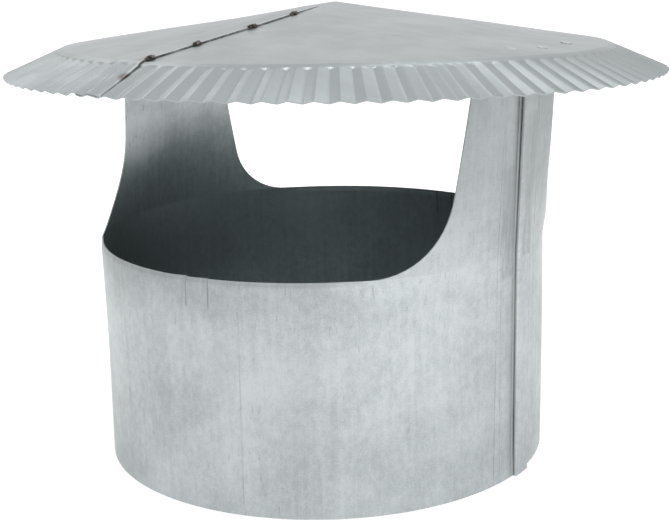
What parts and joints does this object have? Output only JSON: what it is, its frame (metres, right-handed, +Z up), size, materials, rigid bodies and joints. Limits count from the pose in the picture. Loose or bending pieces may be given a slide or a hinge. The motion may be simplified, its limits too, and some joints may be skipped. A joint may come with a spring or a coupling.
{
  "type": "chimney rain cap",
  "caption": "Galvanised rain cap for a round flue: a rolled collar with windows and legs cut into it, under a shallow conical hood with a crimped skirt.",
  "frame": {"origin": "centre of the collar's lower rim, on the flue axis", "axes": "+Z up along the flue axis, towards the hood. +X towards the leg that holds the collar's lock seam, -Y through the window below the hood's lap."},
  "size_m": [0.224, 0.224, 0.1544],
  "materials": {
    "collar_sheet": "dull galvanised, with smudges and fine scratches",
    "hood_sheet": "dull galvanised",
    "spot_weld": "dull, pressed",
    "tack_weld": "heat darkened, rough"
  },
  "bodies": {
    "root": {"collar": "collar_sheet", "hood": "hood_sheet", "seam_leg_spots": "spot_weld", "plain_leg_spots": "spot_weld", "lap_tacks": "tack_weld"}
  },
  "joints": []
}
